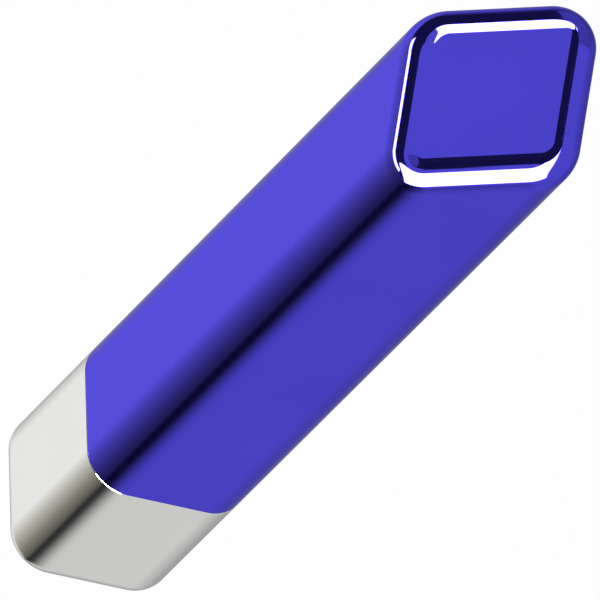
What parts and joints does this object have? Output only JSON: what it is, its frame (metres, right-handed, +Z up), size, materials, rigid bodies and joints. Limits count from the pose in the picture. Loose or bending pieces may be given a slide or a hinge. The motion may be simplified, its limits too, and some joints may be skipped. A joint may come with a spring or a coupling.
{
  "type": "handheld filament pen",
  "caption": "Square-section handheld pen that melts plastic filament: mirror-blue sleeve with a slanted, rimmed closed end, chrome nose with a nozzle, keys and speed slider on one side.",
  "frame": {"origin": "under the middle of the whole pen's length and width, on the surface it lies on", "axes": "+X along the pen from the nozzle to the slanted closed end, +Z up with the pen lying on its vented side, -Y the side with the keys, slider, filament inlet and power socket"},
  "size_m": [0.1676, 0.028, 0.028],
  "materials": {
    "blue_plating": "mirror-bright blue plating over moulded ABS",
    "chrome_plating": "mirror-bright chrome plating over moulded ABS",
    "black_screw": "blackened steel",
    "heat_resin": "dark heat-resistant resin",
    "brass": "machined",
    "aluminium": "machined",
    "steel": "machined",
    "sensor_glass": "glass bead",
    "silicone": "moulded silicone",
    "guide_tube": "translucent low-friction tube",
    "dark_resin": "moulded",
    "frame_resin": "moulded, glass-filled",
    "gear_resin": "moulded acetal",
    "fan_resin": "moulded",
    "board_green": "laminate with solder mask",
    "chip_black": "moulded packages",
    "key_chrome": "bright plated",
    "clear_lens": "clear moulding",
    "lamp_white": "lamp package"
  },
  "bodies": {
    "housing": {"housing_sleeve": "blue_plating", "nose_shell": "chrome_plating", "nose_screws": "black_screw", "nose_insert": "heat_resin", "nozzle": "brass", "heater_block": "aluminium", "heater_cartridge": "steel", "thermistor": "sensor_glass", "silicone_sock": "silicone", "heat_break": "steel", "heat_sink": "aluminium", "sink_screws": "steel", "front_guide_tube": "guide_tube", "rear_guide_tube": "guide_tube", "inlet_bush": "dark_resin", "feeder_frame": "frame_resin", "drive_bushes": "brass", "intermediate_pin": "steel", "gear_motor": "steel", "motor_screws": "steel", "gear_cover": "frame_resin", "cover_screws": "steel", "idler_pivot_pin": "steel", "idler_spring": "steel", "fan_frame": "fan_resin", "fan_screws": "steel", "main_board": "board_green", "board_screws": "steel", "board_chips": "chip_black", "tact_switches": "chip_black", "status_lights": "clear_lens", "status_leds": "lamp_white", "slide_control": "chip_black", "port_shell": "steel", "port_tongue": "chip_black", "power_board": "board_green", "rear_carrier": "frame_resin", "carrier_screws": "steel"},
    "drive": {"drive_shaft": "steel", "drive_wheel": "steel", "drive_gear": "gear_resin"},
    "intermediate": {"intermediate_gear": "gear_resin"},
    "pinion": {"motor_pinion": "brass", "motor_shaft": "steel"},
    "idler": {"idler_arm": "dark_resin", "idler_axle": "steel"},
    "roller": {"idler_roller": "steel"},
    "fan": {"fan_rotor": "fan_resin"},
    "feed_key": {"feed_button": "key_chrome"},
    "retract_key": {"retract_button": "key_chrome"},
    "power_key": {"power_button": "key_chrome"},
    "speed_knob": {"speed_slider": "key_chrome"}
  },
  "joints": [
    {"name": "drive_spin", "type": "hinge", "parent": "housing", "child": "drive", "pos_m": [-0.0078, 0, 0.0091], "axis": [0, 1, 0], "continuous": true},
    {"name": "intermediate_spin", "type": "hinge", "parent": "housing", "child": "intermediate", "pos_m": [0.00106, 0, 0.011], "axis": [0, 1, 0], "continuous": true},
    {"name": "pinion_spin", "type": "hinge", "parent": "housing", "child": "pinion", "pos_m": [0.01056, 0, 0.0077], "axis": [0, 1, 0], "continuous": true},
    {"name": "fan_spin", "type": "hinge", "parent": "housing", "child": "fan", "pos_m": [-0.0251, 0, 0.0076], "axis": [0, 0, 1], "continuous": true},
    {"name": "idler_swing", "type": "hinge", "parent": "housing", "child": "idler", "pos_m": [0.0022, 0, 0.0222], "axis": [0, 1, 0], "range_deg": [0, 10], "stiffness_Nm_per_rad": 0.3, "springref_deg": -2.86, "deforming": ["idler_spring"]},
    {"name": "roller_spin", "type": "hinge", "parent": "idler", "child": "roller", "pos_m": [-0.0078, 0, 0.0174], "axis": [0, 1, 0], "continuous": true},
    {"name": "feed_press", "type": "slide", "parent": "housing", "child": "feed_key", "axis": [0, 1, 0], "range_m": [0, 0.0004], "stiffness_N_per_m": 300, "springref_m": -0.0002},
    {"name": "retract_press", "type": "slide", "parent": "housing", "child": "retract_key", "axis": [0, 1, 0], "range_m": [0, 0.0004], "stiffness_N_per_m": 300, "springref_m": -0.0002},
    {"name": "power_press", "type": "slide", "parent": "housing", "child": "power_key", "axis": [0, 1, 0], "range_m": [0, 0.0004], "stiffness_N_per_m": 300, "springref_m": -0.0002},
    {"name": "speed_slide", "type": "slide", "parent": "housing", "child": "speed_knob", "axis": [1, 0, 0], "range_m": [-0.0035, 0.0035]}
  ],
  "couplings": [
    {"joint": "intermediate_spin", "follows": "drive_spin", "ratio": -2},
    {"joint": "pinion_spin", "follows": "drive_spin", "ratio": 4.6667}
  ]
}
